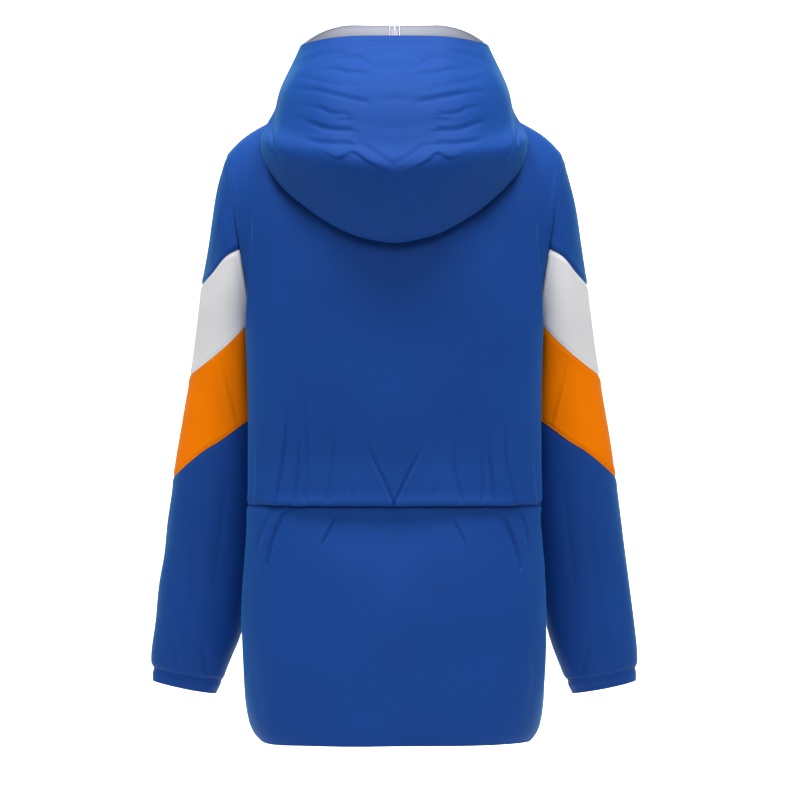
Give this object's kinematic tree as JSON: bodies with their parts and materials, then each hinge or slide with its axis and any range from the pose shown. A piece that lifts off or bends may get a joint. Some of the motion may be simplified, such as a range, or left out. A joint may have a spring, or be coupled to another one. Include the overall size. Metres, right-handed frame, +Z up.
{
  "type": "hooded windbreaker jacket",
  "caption": "Hip-length hooded windbreaker, filled out and empty, with a waist seam, chevron sleeve bands, its hood down and its front zip closed.",
  "frame": {"origin": "between the shoulders, 35 mm below the shoulder seams' neck ends and in the centre plane", "axes": "+Z up, +X to the wearer's left, the garment's front faces -Y and its back faces +Y"},
  "size_m": [0.5916, 0.3163, 0.8656],
  "materials": {
    "shell_blue": "satin woven",
    "shell_white": "satin woven",
    "shell_orange": "satin woven",
    "lining": "matt woven",
    "zip_tape": "matt woven with moulded teeth",
    "metal": "satin paint that matches the tape"
  },
  "bodies": {
    "jacket": {"back_upper": "shell_blue", "back_lower": "shell_blue", "front_upper_left": "shell_blue", "front_upper_right": "shell_blue", "front_lower_left": "shell_blue", "front_lower_right": "shell_blue", "sleeve_top_left": "shell_blue", "sleeve_white_left": "shell_white", "sleeve_orange_left": "shell_orange", "sleeve_lower_left": "shell_blue", "cuff_left": "shell_blue", "sleeve_top_right": "shell_blue", "sleeve_white_right": "shell_white", "sleeve_orange_right": "shell_orange", "sleeve_lower_right": "shell_blue", "cuff_right": "shell_blue", "hood_crown": "shell_blue", "hood_side_left": "shell_blue", "hood_side_right": "shell_blue", "hood_lining": "lining", "zip": "zip_tape", "zip_slider": "metal"},
    "zip_pull": {"zip_pull": "metal"}
  },
  "joints": [
    {"name": "zip_pull_hinge", "type": "hinge", "parent": "jacket", "child": "zip_pull", "pos_m": [0, -0.11795, 0.11285], "axis": [-1, 0, 0], "range_deg": [0, 150]}
  ]
}
